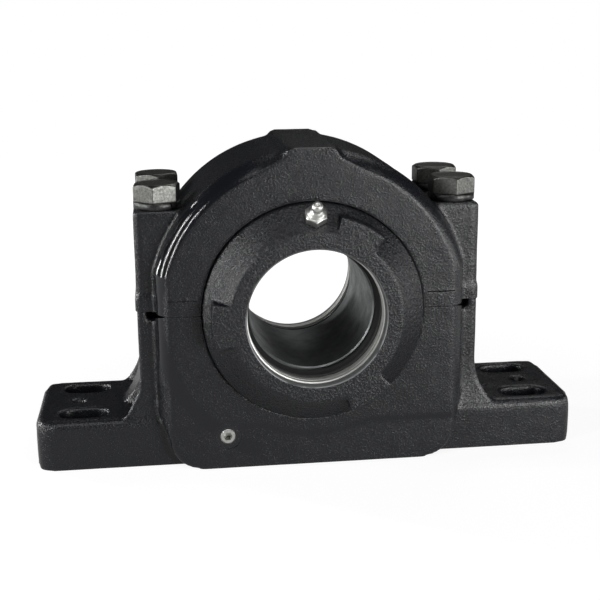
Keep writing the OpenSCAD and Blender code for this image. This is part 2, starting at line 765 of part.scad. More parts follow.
// Outer radius of the sleeve at a place along the shaft
function cone_r(y) = brg_bore / 2 - 0.06 + (brg_w / 2 - y) * cone;

// Washer whose inner tab sits in the slit and whose outer tabs lock the nut
module tab_washer() {
    root = nut_od / 2 - 3;
    color("#9fa1a2") translate([0, tab_y + tab_t, axis_h]) rotate([90, 0, 0]) linear_extrude(tab_t)
        difference() {
            union() {
                circle(root);
                for (k = [0 : tab_count - 1]) rotate(k * 360 / tab_count)
                    translate([-3, root - 1]) square([6, tab_od / 2 - root + 1]);
            }
            difference() {
                circle(brg_bore / 2 + 0.2);
                rotate(slit_turn) translate([0.2 - slit_w / 2, shaft_dia / 2 + 1]) square([slit_w - 0.4, brg_bore]);
            }
        }
}

// Round nut with four spanner slots
module locknut() {
    e = nut_y + nut_w;
    color("#8a8c8d") difference() {
        turned() polygon([[brg_bore / 2, nut_y], [nut_od / 2 - 4, nut_y], [nut_od / 2, nut_y + 2],
            [nut_od / 2, e - 1], [nut_od / 2 - 1, e], [brg_bore / 2 + 1, e], [brg_bore / 2, e - 1]]);
        for (k = [0 : 3]) translate([0, 0, axis_h]) rotate([0, 90 * k + 45, 0])
            translate([-5, nut_y - cut, nut_od / 2 - 4]) cube([10, nut_w + 2 * cut, 8]);
    }
}

housing_base();
housing_cap();
cap_bolts();
spring_washers();
dowel_pins();
drain_plug();
cover_front();
cover_rear();
seal_casing_front();
seal_casing_rear();
seal_lip_front();
seal_lip_rear();
grease_fitting_front();
grease_fitting_rear();
locating_ring_front();
locating_ring_rear();
outer_ring();
inner_ring();
guide_ring();
cage_front();
cage_rear();
adapter_sleeve();
tab_washer();
locknut();
roller(-1, 0);  // roller_f01
roller(-1, 1);  // roller_f02
roller(-1, 2);  // roller_f03
roller(-1, 3);  // roller_f04
roller(-1, 4);  // roller_f05
roller(-1, 5);  // roller_f06
roller(-1, 6);  // roller_f07
roller(-1, 7);  // roller_f08
roller(-1, 8);  // roller_f09
roller(-1, 9);  // roller_f10
roller(-1, 10);  // roller_f11
roller(-1, 11);  // roller_f12
roller(-1, 12);  // roller_f13
roller(-1, 13);  // roller_f14
roller(-1, 14);  // roller_f15
roller(-1, 15);  // roller_f16
roller(1, 0);  // roller_r01
roller(1, 1);  // roller_r02
roller(1, 2);  // roller_r03
roller(1, 3);  // roller_r04
roller(1, 4);  // roller_r05
roller(1, 5);  // roller_r06
roller(1, 6);  // roller_r07
roller(1, 7);  // roller_r08
roller(1, 8);  // roller_r09
roller(1, 9);  // roller_r10
roller(1, 10);  // roller_r11
roller(1, 11);  // roller_r12
roller(1, 12);  // roller_r13
roller(1, 13);  // roller_r14
roller(1, 14);  // roller_r15
roller(1, 15);  // roller_r16
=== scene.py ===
# %% [markdown]
# # A split pillow block bearing in black enamel
# A pillow block carries a turning shaft above a machine frame. Two iron castings hold the
# bearing: the base with its feet, and the cap that four bolts pull down on it. Round end
# covers close the bore, and a tapered sleeve grips the shaft.
# The solids come from the CAD frame. Blender gives them what a solid modeller leaves out:
# the soft edges of sand castings, the rough skin under the paint, and the metal finishes.
# The frame is loaded first, because every piece starts from it or has to fit it.

# %% Load the frame
import math
import bmesh
import bpy
from mathutils import Matrix, Vector, noise


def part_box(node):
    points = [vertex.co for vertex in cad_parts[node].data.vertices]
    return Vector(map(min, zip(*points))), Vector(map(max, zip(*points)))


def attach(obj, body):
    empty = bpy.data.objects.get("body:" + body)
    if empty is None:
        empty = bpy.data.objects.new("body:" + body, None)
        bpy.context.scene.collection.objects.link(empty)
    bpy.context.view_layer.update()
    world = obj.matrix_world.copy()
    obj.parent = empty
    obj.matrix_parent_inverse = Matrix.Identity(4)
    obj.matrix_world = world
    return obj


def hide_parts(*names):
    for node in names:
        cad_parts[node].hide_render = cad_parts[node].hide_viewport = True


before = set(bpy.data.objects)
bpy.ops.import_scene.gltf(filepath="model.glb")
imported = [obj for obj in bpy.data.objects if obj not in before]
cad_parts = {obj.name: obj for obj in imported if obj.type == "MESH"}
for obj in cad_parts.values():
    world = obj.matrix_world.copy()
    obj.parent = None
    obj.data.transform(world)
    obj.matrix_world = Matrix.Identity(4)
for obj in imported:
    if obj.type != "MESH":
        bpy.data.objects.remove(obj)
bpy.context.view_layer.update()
scene = bpy.context.scene
scene.view_settings.view_transform = "Standard"
MM = 0.001

# %% [markdown]
# ## The camera
# The photograph looks a little down on the block and a little from its left, through a lens
# of about 69 mm on a 36 mm film. The place was found by fitting a pinhole camera to about a
# hundred points measured on the photograph. The three turns are kept apart as the
# photographer makes them: turn to the side, nod down, and a slight roll about the view.

# %% Camera
FILM = 36
LENS = 68.6
STAND = (-82.7, -653.1, 255.5)
TURN_RIGHT = 7.09
NOD_DOWN = 14.58
ROLL = -0.55
camera_data = bpy.data.cameras.new("photo_camera")
camera_data.sensor_width = FILM
camera_data.lens = LENS
camera_data.clip_start = 0.01
camera = bpy.data.objects.new("photo_camera", camera_data)
scene.collection.objects.link(camera)
turn_right = Matrix.Rotation(math.radians(-TURN_RIGHT), 4, "Z")
nod_down = Matrix.Rotation(math.radians(90 - NOD_DOWN), 4, "X")
roll = Matrix.Rotation(math.radians(ROLL), 4, "Z")
camera.matrix_world = Matrix.Translation(Vector(STAND) * MM) @ turn_right @ nod_down @ roll
scene.camera = camera
print("camera stands", round(Vector(STAND).length), "mm from the middle of the base")

# %% [markdown]
# ## Sizes that the pieces share
# The castings are bored and trimmed after they are softened, so they need some sizes of the
# CAD model again. Those that several pieces use are named here, in millimetres, and the
# others where they are first needed. Two measures of the frame are printed beside them, so
# that a changed frame shows up.

# %% Shared sizes
AXIS = 90.0
FACE = 48.4
DRUM_R = 89.7
COVER_FACE = 65.0
POST_TOP = AXIS + 56.3
SPLIT_GAP = 0.5
CREASE = AXIS + 8.8
BOLT_X = 83.4
BOLT_Y = 20.8
BOLTS = [(x, y) for y in (-BOLT_Y, BOLT_Y) for x in (-BOLT_X, BOLT_X)]
DOWELS = [(-86, 0), (86, 0)]
CORNERS = [(side, face) for side in (-1, 1) for face in (-1, 1)]
ENDS = (("front", 0), ("rear", math.pi))
low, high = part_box("cap_bolts")
print("bolts span", [round((b - a) / MM, 2) for a, b in zip(low, high)], "mm")
low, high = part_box("cover_front")
print("cover flange radius", round((high.x - low.x) / MM / 2, 2), "mm, front at", round(low.y / MM, 2))

# %% [markdown]
# ## Helpers for colour and nodes
# Paint and metal colours are easiest to read off a screen as sRGB hex values, but the
# shader works in linear light, so one function turns them over. A second one adds a shader
# node: names in small letters are the node's own settings, the others are its sockets, and
# a socket given as a value is linked. A number stands for a socket where a node has several
# of one name: 6 and 7 are the two colours of a Mix node with its share at 0, and a Map Range
# node takes its value at 0, the old range at 1 and 2, and the new range at 3 and 4.

# %% Colour and node helpers
def colour(hex_value):
    channels = [int(hex_value[i:i + 2], 16) / 255 for i in (1, 3, 5)]
    linear = [c / 12.92 if c <= 0.04045 else ((c + 0.055) / 1.055) ** 2.4 for c in channels]
    return (*linear, 1.0)


def add(tree, kind, fields):
    node = tree.nodes.new("ShaderNode" + kind)
    for key, value in fields.items():
        if isinstance(key, str) and key[0].islower():
            setattr(node, key, value)
        elif isinstance(value, bpy.types.NodeSocket):
            tree.links.new(value, node.inputs[key])
        else:
            node.inputs[key].default_value = value
    return node


def new_material(name):
    material = bpy.data.materials.new(name)
    material.use_nodes = True
    material.node_tree.nodes.clear()
    return material, material.node_tree


# %% [markdown]
# ## Grain size
# A noise texture with a scale of 1 has features about a metre wide on Object coordinates.
# A pattern of a known size in millimetres therefore needs the scale 1000 divided by it.

# %% Scale of a grain
def grain(size_mm):
    return 1 / (size_mm * MM)


print("scale for 1.3 mm sand grain:", round(grain(1.3)))

# %% [markdown]
# ## Colour of worn enamel
# One coat of satin black enamel is a nearly black, slightly blue paint, a little uneven in
# patches of two centimetres. Where edges were knocked, the coat is thin and grey, and a few
# chips show the iron. The wear follows an attribute of the mesh that says how sharp the
# surface bends outwards. Chips only come where that attribute meets a bright fleck of
# noise, so they are few and sit on edges.

# %% Enamel colour
THIN_PAINT = "#2a2b30"
CHIPPED_IRON = "#66676b"


def paint_colour(tree, place, dark, pale):
    patches = add(tree, "TexNoise", {"Vector": place, "Scale": grain(22), "Detail": 3.0,
                                     "Roughness": 0.6})
    tint = add(tree, "Mix", {"data_type": "RGBA", 0: patches.outputs["Fac"],
                             6: colour(dark), 7: colour(pale)})
    edge = add(tree, "Attribute", {"attribute_name": "edge"}).outputs["Fac"]
    thin = add(tree, "MapRange", {0: edge, 1: 0.3, 2: 1.0, 3: 0.0, 4: 0.4})
    rubbed = add(tree, "Mix", {"data_type": "RGBA", 0: thin.outputs[0],
                               6: tint.outputs[2], 7: colour(THIN_PAINT)})
    flecks = add(tree, "TexNoise", {"Vector": place, "Scale": grain(2.2), "Detail": 3.0,
                                    "Roughness": 0.7})
    chance = add(tree, "Math", {"operation": "MULTIPLY", 0: flecks.outputs["Fac"], 1: edge})
    chips = add(tree, "MapRange", {0: chance.outputs[0], 1: 0.56, 2: 0.6, 3: 0.0, 4: 1.0})
    worn = add(tree, "Mix", {"data_type": "RGBA", 0: chips.outputs[0],
                             6: rubbed.outputs[2], 7: colour(CHIPPED_IRON)})
    return worn.outputs[2]


# %% [markdown]
# ## Skin of a sand casting
# Grey iron is poured into sand, so its skin is a carpet of rounded grains a millimetre or
# so apart, on top of slow waves of a centimetre. The enamel fills the finest pits but keeps
# the grains. They could be modelled, but that takes millions of faces, so bump maps draw
# them: waves, then grains, then dust at less than half the size of a grain. The rounded
# left shoulder of the drum was dressed smooth before painting, so a second attribute
# flattens the skin there.

# %% Cast skin
SMOOTH_SHARE = 0.1
WAVE_DEPTH = 0.2
DUST_SHARE = 0.4


def cast_skin(tree, place, grains, dressed, sand, sand_depth):
    waves = add(tree, "TexNoise", {"Vector": place, "Scale": grain(9), "Detail": 1.5,
                                   "Roughness": 0.4})
    dust = add(tree, "TexNoise", {"Vector": place, "Scale": grain(sand * 0.45), "Detail": 2.0,
                                  "Roughness": 0.6})
    rough_share = add(tree, "MapRange", {0: dressed, 3: 1.0, 4: SMOOTH_SHARE}).outputs[0]
    layers = ((waves.outputs["Fac"], WAVE_DEPTH), (grains, sand_depth),
              (dust.outputs["Fac"], sand_depth * DUST_SHARE))
    below = {}
    for height, depth in layers:
        distance = add(tree, "Math", {"operation": "MULTIPLY", 0: rough_share, 1: depth * MM})
        bump = add(tree, "Bump", {"Height": height, "Distance": distance.outputs[0],
                                  "Strength": 1.0, **below})
        below = {"Normal": bump.outputs[0]}
    return bump.outputs[0]


# %% [markdown]
# ## Black enamel on sand-cast iron
# To the eye the gloss of the paint breaks up into many small glints, because the tops of
# the grains are smoother than the hollows. The same noise that lifts the grains therefore
# also drives the roughness. The dressed shoulder has less than half of it, and shines. The
# covers were cast in coarser sand than the housing.

# %% Enamel finish
def enamel(name, dark, pale, sand, sand_depth, gloss, spark):
    material, tree = new_material(name)
    place = add(tree, "TexCoord", {}).outputs["Object"]
    grains = add(tree, "TexNoise", {"Vector": place, "Scale": grain(sand), "Detail": 2.5,
                                    "Roughness": 0.55}).outputs["Fac"]
    dressed = add(tree, "Attribute", {"attribute_name": "dressed"}).outputs["Fac"]
    spread = add(tree, "MapRange", {0: grains, 1: 0.3, 2: 0.7, 3: gloss + 0.08, 4: gloss - spark})
    share = add(tree, "MapRange", {0: dressed, 3: 1.0, 4: 0.45})
    rough = add(tree, "Math", {"operation": "MULTIPLY", 0: spread.outputs[0], 1: share.outputs[0]})
    skin = cast_skin(tree, place, grains, dressed, sand, sand_depth)
    paint = add(tree, "BsdfPrincipled", {"Base Color": paint_colour(tree, place, dark, pale),
                                         "Roughness": rough.outputs[0], "IOR": 1.5,
                                         "Specular IOR Level": 0.5, "Normal": skin})
    add(tree, "OutputMaterial", {"Surface": paint.outputs[0]})
    return material


housing_enamel = enamel("satin_black_enamel_on_sand_cast_iron", "#0c0d10", "#15161b",
                        sand=1.05, sand_depth=0.26, gloss=0.3, spark=0.08)
cover_enamel = enamel("black_enamel_on_coarse_cover_casting", "#0b0c0f", "#15161b",
                      sand=1.3, sand_depth=0.5, gloss=0.3, spark=0.12)
print("enamels:", housing_enamel.name, "and", cover_enamel.name)

# %% [markdown]
# ## Bored and milled cast iron
# The bearing seat, the split faces and the underside are cut after casting and stay bare.
# Cut grey iron is a dull mid grey metal, because its graphite flakes break the shine. Real
# feed marks lie a third of a millimetre apart, too fine to show here, so they are drawn
# 2 mm apart. A wave texture repeats about three times in one unit, which makes that a size
# of 6.3 mm.

# %% Machined iron
FEED_MARKS = 6.3


def machined_iron():
    material, tree = new_material("bored_grey_cast_iron")
    place = add(tree, "TexCoord", {}).outputs["Object"]
    flakes = add(tree, "TexNoise", {"Vector": place, "Scale": grain(0.9), "Detail": 4.0,
                                    "Roughness": 0.7}).outputs["Fac"]
    marks = add(tree, "TexWave", {"Vector": place, "wave_type": "BANDS", "bands_direction": "Y",
                                  "Scale": grain(FEED_MARKS), "Distortion": 0.3, "Detail": 1.0})
    tint = add(tree, "Mix", {"data_type": "RGBA", 0: flakes,
                             6: colour("#6c6d6e"), 7: colour("#98999a")})
    rough = add(tree, "MapRange", {0: flakes, 3: 0.45, 4: 0.65})
    feed = add(tree, "Bump", {"Height": marks.outputs["Fac"], "Distance": 0.02 * MM,
                              "Strength": 1.0})
    iron = add(tree, "BsdfPrincipled", {"Base Color": tint.outputs[2], "Metallic": 0.85,
                                        "Roughness": rough.outputs[0], "Normal": feed.outputs[0]})
    add(tree, "OutputMaterial", {"Surface": iron.outputs[0]})
    return material


bored_iron = machined_iron()
print("bare iron:", bored_iron.name)

# %% [markdown]
# ## Painted shade in narrow recesses
# The crease of the cap and the slots where a bar pries the halves apart get a nearly black,
# quite matt colour. It is painted shade, which makes these narrow recesses look deep and
# dark.

# %% Painted recess shade
def painted_recess_shade():
    material, tree = new_material("oily_dirt_in_narrow_recesses")
    place = add(tree, "TexCoord", {}).outputs["Object"]
    shade_speckle = add(tree, "TexNoise", {"Vector": place, "Scale": grain(0.8), "Detail": 3.0,
                                    "Roughness": 0.6})
    tint = add(tree, "Mix", {"data_type": "RGBA", 0: shade_speckle.outputs["Fac"],
                             # These near-black colours are painted shade for the crease and the pry
                             # slots.
                             6: colour("#030304"), 7: colour("#0b0b0c")})
    recess_shade_bsdf = add(tree, "BsdfPrincipled", {"Base Color": tint.outputs[2], "Roughness": 0.9,
                                         "Specular IOR Level": 0.1})
    add(tree, "OutputMaterial", {"Surface": recess_shade_bsdf.outputs[0]})
    return material


recess_shade_paint = painted_recess_shade()
print("dirt:", recess_shade_paint.name)

# %% [markdown]
# ## Bare and plated metals
# The loose metal parts differ in how they were made, and that is what the eye reads. The
# bolts are forged and zinc plated: mid grey with a dull, cloudy skin. The spring washers
# are dark oiled steel. The seal casing was turned and polished along its rings, which
# spread its shine into a broad band. The sleeve was ground inside and oiled, which makes it
# dark with soft bands round the bore. The rings and rollers of the bearing are the
# smoothest, and the cages are brass.
# All of them are one metal shader with clouds in its colour, and marks that either lie at
# random or run round an axis. Marks that run round the shaft change only along it, so they
# come from a noise of one dimension fed with that coordinate.

# %% Metal finish
def metal(name, dark, light, clouds, rough, marks, depth, round_axis=None):
    material, tree = new_material(name)
    place = add(tree, "TexCoord", {}).outputs["Object"]
    cloud = add(tree, "TexNoise", {"Vector": place, "Scale": grain(clouds), "Detail": 4.0,
                                   "Roughness": 0.65}).outputs["Fac"]
    contrast = add(tree, "MapRange", {0: cloud, 1: 0.32, 2: 0.68})
    tint = add(tree, "Mix", {"data_type": "RGBA", 0: contrast.outputs[0],
                             6: colour(dark), 7: colour(light)})
    if round_axis:
        apart = add(tree, "SeparateXYZ", {0: place})
        along = add(tree, "Math", {"operation": "MULTIPLY", 0: apart.outputs[round_axis],
                                   1: grain(marks)})
        scratches = add(tree, "TexNoise", {"noise_dimensions": "1D", "W": along.outputs[0],
                                           "Scale": 1.0, "Detail": 3.0})
    else:
        scratches = add(tree, "TexNoise", {"Vector": place, "Scale": grain(marks), "Detail": 3.0,
                                           "Roughness": 0.6})
    shiny, dull = rough
    spread = add(tree, "MapRange", {0: cloud, 1: 0.3, 2: 0.7, 3: dull, 4: shiny})
    relief = add(tree, "Bump", {"Height": scratches.outputs[0], "Distance": depth * MM,
                                "Strength": 1.0})
    shine = add(tree, "BsdfPrincipled", {"Base Color": tint.outputs[2], "Metallic": 1.0,
                                         "Roughness": spread.outputs[0],
                                         "Normal": relief.outputs[0]})
    add(tree, "OutputMaterial", {"Surface": shine.outputs[0]})
    return material


forged_zinc = metal("zinc_plate_on_forged_bolts", "#474745", "#767773",
                    clouds=1.2, rough=(0.3, 0.45), marks=0.7, depth=0.06)
spring_steel = metal("oiled_spring_steel", "#2f3030", "#565755",
                     clouds=2.0, rough=(0.32, 0.5), marks=0.8, depth=0.04)
polished_casing = metal("polished_steel_seal_casing", "#d2d2ce", "#e6e6e2",
                        clouds=6.0, rough=(0.52, 0.64), marks=0.35, depth=0.006, round_axis="Y")
ground_sleeve = metal("ground_steel_sleeve_with_oil", "#66696a", "#8a8d8d",
                      clouds=9.0, rough=(0.38, 0.5), marks=0.3, depth=0.006, round_axis="Y")
turned_nut = metal("turned_dark_steel_nut", "#3a3c3d", "#5c5e5f",
                   clouds=7.0, rough=(0.28, 0.4), marks=0.35, depth=0.008, round_axis="Y")
ground_ring = metal("ground_bearing_steel_rings", "#8f9192", "#b4b6b6",
                    clouds=12.0, rough=(0.16, 0.28), marks=0.25, depth=0.003, round_axis="Y")
lapped_roller = metal("lapped_bearing_steel_rollers", "#a9abac", "#c8cacb",
                      clouds=9.0, rough=(0.1, 0.18), marks=0.4, depth=0.001)
bright_zinc = metal("bright_zinc_plate_on_fittings", "#b4b4af", "#d8d8d4",
                    clouds=1.5, rough=(0.3, 0.45), marks=0.9, depth=0.04)
machined_cage = metal("machined_brass_cage", "#9a7a3c", "#c19b52",
                      clouds=6.0, rough=(0.26, 0.4), marks=0.5, depth=0.01, round_axis="Y")
print("materials so far:", len(bpy.data.materials))

# %% [markdown]
# ## Seal rubber
# The lip is moulded nitrile rubber, black and matt with a faint bloom of grease. Rubber is
# no metal: it has a plain low gloss over a nearly black colour.

# %% Rubber
def moulded_rubber():
    material, tree = new_material("moulded_nitrile_rubber_lip")
    place = add(tree, "TexCoord", {}).outputs["Object"]
    bloom = add(tree, "TexNoise", {"Vector": place, "Scale": grain(4), "Detail": 3.0,
                                   "Roughness": 0.6}).outputs["Fac"]
    tint = add(tree, "Mix", {"data_type": "RGBA", 0: bloom,
                             6: colour("#0e0e0f"), 7: colour("#1c1c1d")})
    rough = add(tree, "MapRange", {0: bloom, 3: 0.5, 4: 0.7})
    skin = add(tree, "TexNoise", {"Vector": place, "Scale": grain(0.5), "Detail": 2.0})
    relief = add(tree, "Bump", {"Height": skin.outputs["Fac"], "Distance": 0.02 * MM,
                                "Strength": 1.0})
    rubber = add(tree, "BsdfPrincipled", {"Base Color": tint.outputs[2], "IOR": 1.5,
                                          "Roughness": rough.outputs[0],
                                          "Normal": relief.outputs[0]})
    add(tree, "OutputMaterial", {"Surface": rubber.outputs[0]})
    return material


nitrile = moulded_rubber()
print("rubber:", nitrile.name)

# %% [markdown]
# ## Meshes from the CAD nodes
# A casting therefore starts from a copy whose doubled points are merged. `to_piece` turns a
# finished bmesh into an object that stays at the origin, shaded smooth but for its sharp
# edges.

# %% Mesh helpers
def cad_copy(node):
    bm = bmesh.new()
    bm.from_mesh(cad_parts[node].data)
    bmesh.ops.remove_doubles(bm, verts=bm.verts, dist=0.003 * MM)
    return bm


def shade(mesh, sharp_angle):
    mesh.shade_smooth()
    mesh.set_sharp_from_angle(angle=math.radians(sharp_angle))


def to_piece(name, bm, materials, sharp_angle=50):
    mesh = bpy.data.meshes.new(name)
    bm.to_mesh(mesh)
    bm.free()
    for material in materials:
        mesh.materials.append(material)
    piece = bpy.data.objects.new(name, mesh)
    scene.collection.objects.link(piece)
    shade(mesh, sharp_angle)
    return piece


def apply_modifiers(piece):
    bpy.context.view_layer.update()
    depsgraph = bpy.context.evaluated_depsgraph_get()
    finished = bpy.data.meshes.new_from_object(piece.evaluated_get(depsgraph))
    piece.modifiers.clear()
    piece.data = finished


# %% [markdown]
# ## Lathe work
# Anything turned is one closed section of radius and height, spun through a full turn
# about an upright axis. The outline is enough, because the spin makes the skin from its
# edges. Its doubles are merged where the section touches the axis, and the faces are turned
# outwards. A matrix then lays the piece in its place: `ON_SHAFT` is the one for pieces that
# turn about the shaft, with the height of the section running along it, and `UPRIGHT`
# leaves a bolt or fitting standing at the origin.

# %% Lathe
ON_SHAFT = Matrix.Translation((0, 0, AXIS * MM)) @ Matrix.Rotation(math.radians(-90), 4, "X")
UPRIGHT = Matrix()


def lathe(section, steps, place=ON_SHAFT):
    bm = bmesh.new()
    points = [bm.verts.new((r * MM, 0, z * MM)) for r, z in section]
    edges = [bm.edges.new((points[i], points[i - 1])) for i in range(len(points))]
    bmesh.ops.spin(bm, geom=points + edges, cent=(0, 0, 0), axis=(0, 0, 1), angle=math.tau,
                   steps=steps, use_merge=True, use_duplicate=False)
    bmesh.ops.remove_doubles(bm, verts=bm.verts, dist=0.001 * MM)
    bmesh.ops.dissolve_degenerate(bm, edges=bm.edges, dist=0.0005 * MM)
    bmesh.ops.recalc_face_normals(bm, faces=bm.faces)
    bm.transform(place)
    return bm


# %% [markdown]
# ## Blocks, rods and gathering
# Fillers and cutters are plain blocks and rods, given by their ends in millimetres. Several
# may share one bmesh, and `pour` empties one bmesh into another.

# %% Plain shapes
ROD_SIDES = 64


def block(bm, low, high):
    made = bmesh.ops.create_cube(bm, size=1)["verts"]
    size = [b - a for a, b in zip(low, high)]
    bmesh.ops.scale(bm, vec=[s * MM for s in size], verts=made)
    bmesh.ops.translate(bm, vec=[(a + b) / 2 * MM for a, b in zip(low, high)], verts=made)


def rod(bm, centre, radius, bottom, top):
    made = bmesh.ops.create_cone(bm, cap_ends=True, segments=ROD_SIDES, radius1=radius * MM,
                                 radius2=radius * MM, depth=(top - bottom) * MM)["verts"]
    middle = (centre[0] * MM, centre[1] * MM, (bottom + top) / 2 * MM)
    bmesh.ops.translate(bm, vec=middle, verts=made)
    return made


def pour(bm, extra):
    spare = bpy.data.meshes.new("spare")
    extra.to_mesh(spare)
    extra.free()
    bm.from_mesh(spare)
    bpy.data.meshes.remove(spare)


def only_points(geometry):
    return [part for part in geometry if isinstance(part, bmesh.types.BMVert)]


# %% [markdown]
# ## Softening a casting
# A mould can't hold a sharp corner, and the paint rounds it further. A voxel remesh turns
# the CAD copy into an even skin, and it melts overlapping fillers into it, so holes that
# are cut later can be plugged first. Smoothing then rounds every edge and fills every inner
# corner a little. Last, noise in swells of 16 mm and ripples of 6 mm lifts and sinks the
# skin, because no cast face is quite flat: by about a tenth of a millimetre on the housing,
# and less on smaller pieces.

# %% Soften
SWELL = 16
RIPPLE = 6


def smooth(bm, points, passes, axes="xyz"):
    for _ in range(passes):
        bmesh.ops.smooth_vert(bm, verts=points, factor=0.5, use_axis_x="x" in axes,
                              use_axis_y="y" in axes, use_axis_z="z" in axes)


def soften(name, bm, voxel, passes, lift):
    piece = to_piece(name, bm, [])
    remesh = piece.modifiers.new("skin", "REMESH")
    remesh.mode = "VOXEL"
    remesh.voxel_size = voxel * MM
    apply_modifiers(piece)
    bm = bmesh.new()
    bm.from_mesh(piece.data)
    bpy.data.objects.remove(piece)
    smooth(bm, bm.verts, passes)
    bm.normal_update()
    for vert in bm.verts:
        slow = noise.noise(vert.co / (SWELL * MM)) + 0.5 * noise.noise(vert.co / (RIPPLE * MM))
        vert.co += vert.normal * slow * lift * MM
    print(name, "skin has", len(bm.verts), "points")
    return bm


# %% [markdown]
# ## Trimming a casting
# The machined faces are cut from the soft skin with booleans, so they meet it in crisp
# lines as on the real block. The fast Manifold solver needs closed shapes, and each cutter
# brings its own material to the faces that it leaves: bare iron where the block was cut
# after painting, enamel where the hollow was cast, and painted dark shade in narrow recesses.

# %% Trim
def trim(piece, cutters, materials=(), operation="DIFFERENCE"):
    tools = [to_piece("cutter", cutter, materials) for cutter in cutters]
    for tool in tools:
        cut = piece.modifiers.new("cut", "BOOLEAN")
        cut.operation = operation
        cut.solver = "MANIFOLD"
        cut.object = tool
        cut.material_mode = "TRANSFER"
    apply_modifiers(piece)
    for tool in tools:
        bpy.data.objects.remove(tool)


# %% [markdown]
# ## Dressed and sheltered places
# The left shoulder of the drum was dressed smooth: a band 8 mm high along the rim, 9 mm
# deep behind each face, that fades in from 28 mm left of the middle. Nothing knocks the
# crease of the cap or the holes in the feet, so they keep nearly their full coat.

# %% Places on the castings
BAND_HIGH = 8
BAND_DEEP = 9
BAND_START = -28
FOOT_HOLES_X = (114, 147)
FOOT_HOLES_Y = 31
FOOT_HOLES_TOP = 40


def dressed_share(x, y, z):
    radius = math.hypot(x, z - AXIS)
    above_band_foot = (radius - DRUM_R + BAND_HIGH) / 2
    within_rim = (DRUM_R + 1 - radius) / 2
    near_face = (abs(y) - FACE + BAND_DEEP) / 2
    leftwards = (BAND_START - x) / 20
    return max(0.0, min(1.0, above_band_foot, within_rim, near_face, leftwards))


def sheltered(x, y, z):
    in_crease = abs(z - CREASE) < 2 and abs(x) < DRUM_R - 4 and abs(y) > FACE - 2
    over_hole = FOOT_HOLES_X[0] < abs(x) < FOOT_HOLES_X[1] and abs(y) < FOOT_HOLES_Y
    return in_crease or (over_hole and z < FOOT_HOLES_TOP)


# %% [markdown]
# ## Where edges are sharp
# The cuts leave a few slivers with almost no area, which are dissolved first. Wear and
# thin paint sit on outside corners. For each point the mean bend of its edges tells how far
# it stands out. The value is blurred along the skin, lowered in sheltered places, and
# stored as the attribute that the enamel reads.

# %% Mark edges
SHELTERED_SHARE = 0.2
BLUR_PASSES = 2


def mark_edges(piece, full_bend):
    bm = bmesh.new()
    bm.from_mesh(piece.data)
    bmesh.ops.dissolve_degenerate(bm, edges=bm.edges, dist=0.01 * MM)
    edge = bm.verts.layers.float.new("edge")
    dressed = bm.verts.layers.float.new("dressed")
    for vert in bm.verts:
        bends = [e.calc_face_angle_signed(0) for e in vert.link_edges if e.is_manifold]
        vert[edge] = max(0.0, sum(bends) / max(1, len(bends)) / full_bend)
        vert[dressed] = dressed_share(*(vert.co / MM))
    for _ in range(BLUR_PASSES):
        near = {v: sum(e.other_vert(v)[edge] for e in v.link_edges) / max(1, len(v.link_edges))
                for v in bm.verts}
        for vert in bm.verts:
            vert[edge] = min(1.0, 0.5 * vert[edge] + 0.5 * near[vert])
    for vert in bm.verts:
        if sheltered(*(vert.co / MM)):
            vert[edge] *= SHELTERED_SHARE
    bm.to_mesh(piece.data)
    bm.free()


# %% [markdown]
# ## Bore of the housing
# Both halves are bored together. The tool is one lathe section: the opening in each face
# with a small broken edge, the groove that traps the cover, and the wide seat of the
# bearing in the middle. The plug fills all of it before a casting gets its skin.

# %% Bore tool
MOUTH_R = 61.9
BROKEN_EDGE = 0.6
SEAT_R = 70.05
SEAT_HALF = 29.3
TRAP_R = 67.0
TRAP_INNER = 37.05
TRAP_OUTER = 42.95
PROUD = 4
PLUG_R = 71


def bore_tool():
    half = [(0, FACE + PROUD), (MOUTH_R + BROKEN_EDGE + PROUD, FACE + PROUD),
            (MOUTH_R + BROKEN_EDGE, FACE), (MOUTH_R, FACE - BROKEN_EDGE),
            (MOUTH_R, TRAP_OUTER), (TRAP_R, TRAP_OUTER), (TRAP_R, TRAP_INNER), (MOUTH_R, TRAP_INNER),
            (MOUTH_R, SEAT_HALF), (SEAT_R, SEAT_HALF)]
    return lathe(half + [(r, -y) for r, y in reversed(half)], 256)


def bore_plug():
    return lathe([(0, -FACE), (PLUG_R, -FACE), (PLUG_R, FACE), (0, FACE)], 128)


# %% [markdown]
# ## Growing past a machined face
# Smoothing also rounds the rims of the split face and the underside. So these faces are
# first pushed out by three millimetres, and slabs wider than the castings then cut them
# back to their true place with a crisp rim. The slabs reach so far that they also take the
# half of the bore's plug that lies beyond the split.

# %% Grow flat faces
GROWN = 3
SLAB_X = 200
SLAB_Y = 80


def grow(bm, height, reach):
    flat = [f for f in bm.faces if abs(f.normal.z) > 0.99
            and all(abs(v.co.z - height * MM) < 0.01 * MM for v in f.verts)]
    pushed = bmesh.ops.extrude_face_region(bm, geom=flat)["geom"]
    bmesh.ops.translate(bm, vec=(0, 0, reach * MM), verts=only_points(pushed))
    return len(flat)


def slab(bottom, top):
    bm = bmesh.new()
    block(bm, (-SLAB_X, -SLAB_Y, bottom), (SLAB_X, SLAB_Y, top))
    return bm


# %% [markdown]
# ## The base casting
# The base is one casting: two long feet with rough cored slots, the lower half of the drum
# and two flared posts. The bore, the bolt holes and the drain seat are plugged before the
# skin is made and cut again afterwards. The upright corners of the feet are rounder than
# the other edges, so they are smoothed sixty times more, and only sideways.

# %% Base casting
DRAIN = (-49, -(FACE - 0.7), 18.8)
BOLT_PLUG_R = 9
DOWEL_PLUG_R = 5
DRAIN_PLUG_R = 8.5
FOOT_CORNER_X = 147
FOOT_CORNER_Y = 25
CORNER_PASSES = 60

